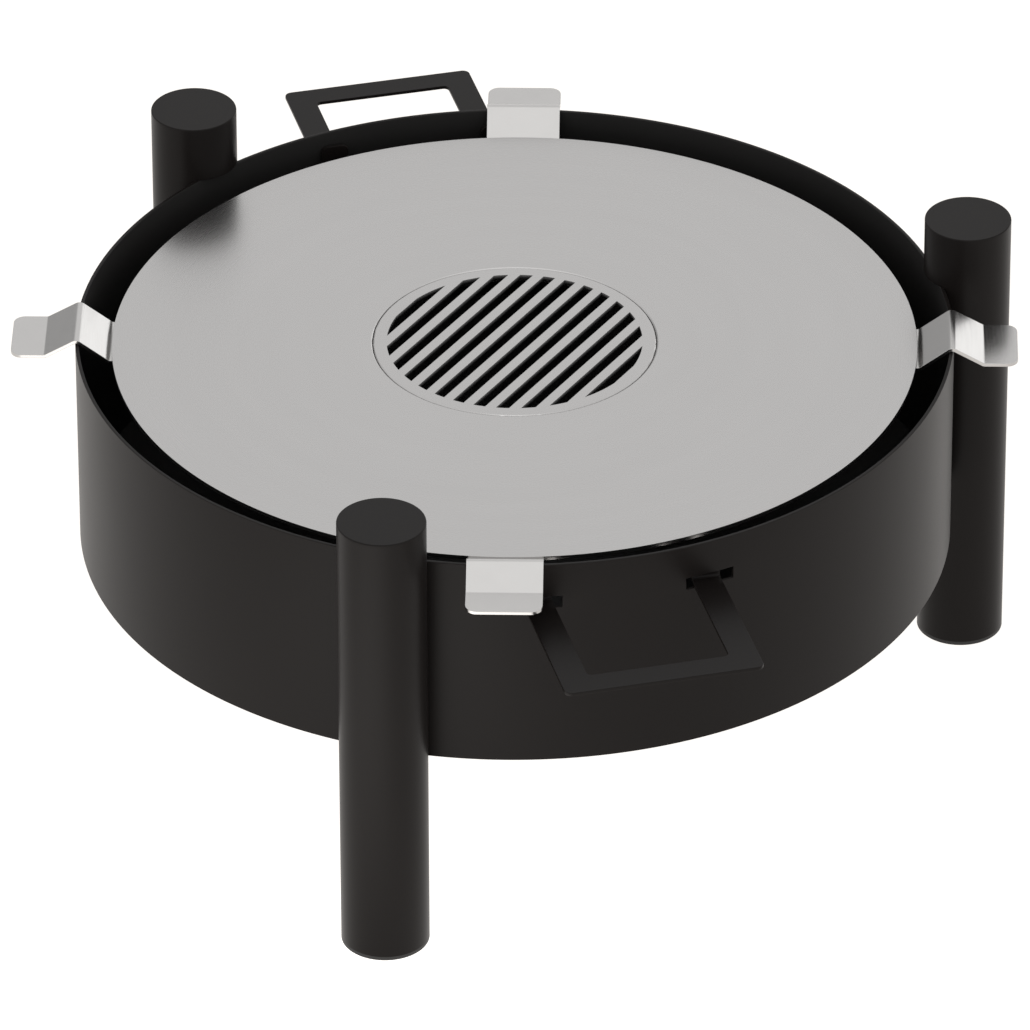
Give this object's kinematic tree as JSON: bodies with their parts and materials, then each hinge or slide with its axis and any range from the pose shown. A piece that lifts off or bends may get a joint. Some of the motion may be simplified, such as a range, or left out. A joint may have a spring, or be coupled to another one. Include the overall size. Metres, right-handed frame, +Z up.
{
  "type": "fire bowl grill with griddle plate",
  "caption": "Round black steel fire bowl on tube legs, with swinging sheet handles and a lift-off griddle plate hung on the rim, holding a round slotted grate.",
  "frame": {"origin": "on the ground, on the bowl's vertical axis", "axes": "+Z up; the four hanger straps lie along X and Y; the first leg stands 15.4 degrees from +X towards +Y, and the handles are square to it"},
  "size_m": [0.687, 0.8126, 0.33],
  "materials": {
    "black_steel": "satin black heat-proof coat on sheet steel",
    "griddle_steel": "fine satin stainless sheet",
    "strap_steel": "bright satin stainless strap",
    "foot_plastic": "matt black nylon"
  },
  "bodies": {
    "bowl": {"bowl_floor": "black_steel", "bowl_wall": "black_steel", "leg_cap_front": "black_steel", "leg_cap_left": "black_steel", "leg_cap_right": "black_steel", "leg_foot_front": "foot_plastic", "leg_foot_left": "foot_plastic", "leg_foot_right": "foot_plastic", "leg_tube_front": "black_steel", "leg_tube_left": "black_steel", "leg_tube_right": "black_steel"},
    "griddle": {"griddle_plate": "griddle_steel", "hanger_strap_front": "strap_steel", "hanger_strap_left": "strap_steel", "hanger_strap_rear": "strap_steel", "hanger_strap_right": "strap_steel", "insert_seat_ring": "griddle_steel"},
    "grate": {"grate_insert": "griddle_steel"},
    "front_handle": {"handle_front": "black_steel"},
    "rear_handle": {"handle_rear": "black_steel"}
  },
  "joints": [
    {"name": "griddle_lift", "type": "slide", "parent": "bowl", "child": "griddle", "axis": [0, 0, 1], "range_m": [0, 0.15]},
    {"name": "grate_lift", "type": "slide", "parent": "griddle", "child": "grate", "axis": [0, 0, 1], "range_m": [0, 0.08]},
    {"name": "front_handle_swing", "type": "hinge", "parent": "bowl", "child": "front_handle", "pos_m": [0.07686, -0.27905, 0.2562], "axis": [-0.9641, -0.2656, 0], "range_deg": [0, 22]},
    {"name": "rear_handle_swing", "type": "hinge", "parent": "bowl", "child": "rear_handle", "pos_m": [-0.07686, 0.27905, 0.2562], "axis": [0.9641, 0.2656, 0], "range_deg": [0, 22]}
  ]
}
